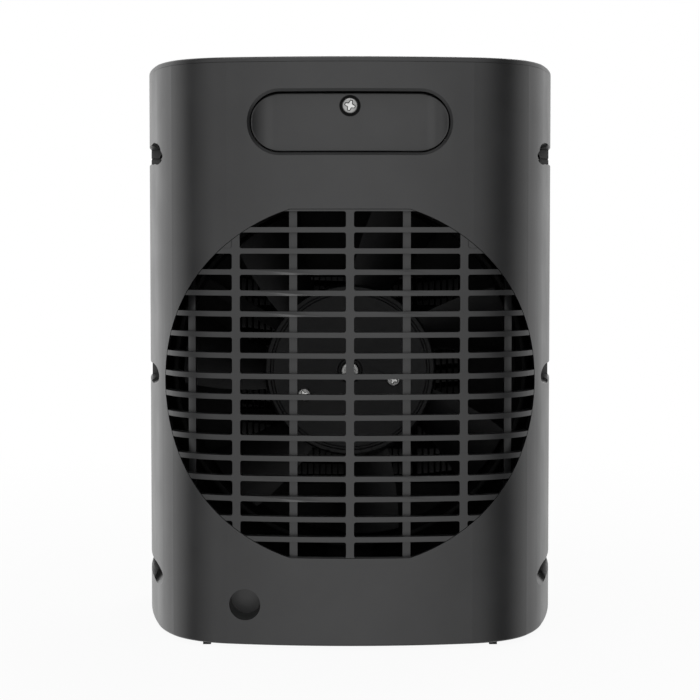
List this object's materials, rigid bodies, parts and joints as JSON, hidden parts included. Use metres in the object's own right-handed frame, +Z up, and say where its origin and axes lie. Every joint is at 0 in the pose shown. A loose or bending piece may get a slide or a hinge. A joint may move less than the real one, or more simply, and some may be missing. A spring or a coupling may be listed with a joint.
{
  "type": "ceramic space heater",
  "caption": "Free-standing ceramic space heater with a curved housing, oval rear intake grille, axial fan, front outlet grille and rotary controls.",
  "frame": {"origin": "under the middle of the heater, at the level of the feet", "axes": "+Z up, -Y towards the outlet and controls, +Y towards the rear intake grille"},
  "size_m": [0.1818, 0.164, 0.24],
  "materials": {
    "housing_plastic": "fine-textured charcoal ABS",
    "grille_plastic": "satin charcoal ABS",
    "fan_plastic": "black heat-resistant plastic",
    "duct_plastic": "black flame-retardant plastic",
    "steel": "bright plated steel",
    "motor_steel": "dull grey sheet steel",
    "fin_metal": "thin aluminium fins on ceramic strips",
    "frame_plastic": "heat-resistant plastic",
    "brass": "plated brass",
    "control_plastic": "natural plastic",
    "knob_plastic": "satin black plastic",
    "lens": "tinted clear plastic",
    "rubber": "soft rubber"
  },
  "bodies": {
    "housing": {"rear_housing": "housing_plastic", "front_housing": "housing_plastic", "top_cap": "housing_plastic", "base_plate": "housing_plastic", "rear_grille": "grille_plastic", "grip_plate": "grille_plastic", "front_grille": "grille_plastic", "cord_socket": "housing_plastic", "grip_screw": "steel", "housing_screws": "steel", "motor_screws": "steel", "base_screws": "steel", "plunger_spring": "steel", "fan_duct": "duct_plastic", "motor_body": "motor_steel", "ptc_core": "fin_metal", "ptc_frame": "frame_plastic", "core_baffle": "duct_plastic", "ptc_terminals": "brass", "thermal_cutout": "motor_steel", "thermostat_body": "control_plastic", "mode_switch": "control_plastic", "indicator_lens": "lens", "indicator_lamp": "lens", "feet": "rubber", "tip_over_switch": "duct_plastic", "terminal_block": "control_plastic"},
    "fan": {"fan_impeller": "fan_plastic", "motor_shaft": "steel", "shaft_cap": "steel", "hub_screws": "steel"},
    "thermostat": {"thermostat_knob": "knob_plastic", "thermostat_spindle": "control_plastic"},
    "mode": {"mode_knob": "knob_plastic", "mode_spindle": "control_plastic"},
    "plunger": {"tip_over_plunger": "control_plastic"}
  },
  "joints": [
    {"name": "fan_spin", "type": "hinge", "parent": "housing", "child": "fan", "pos_m": [0, 0.01, 0.11], "axis": [0, 1, 0], "continuous": true},
    {"name": "thermostat_turn", "type": "hinge", "parent": "housing", "child": "thermostat", "pos_m": [0.036, -0.073, 0.205], "axis": [0, 1, 0], "range_deg": [0, 270]},
    {"name": "mode_turn", "type": "hinge", "parent": "housing", "child": "mode", "pos_m": [-0.036, -0.073, 0.205], "axis": [0, 1, 0], "range_deg": [0, 135]},
    {"name": "plunger_slide", "type": "slide", "parent": "housing", "child": "plunger", "axis": [0, 0, -1], "range_m": [0, 0.005], "stiffness_N_per_m": 100, "springref_m": 0.007, "deforming": ["plunger_spring"]}
  ]
}
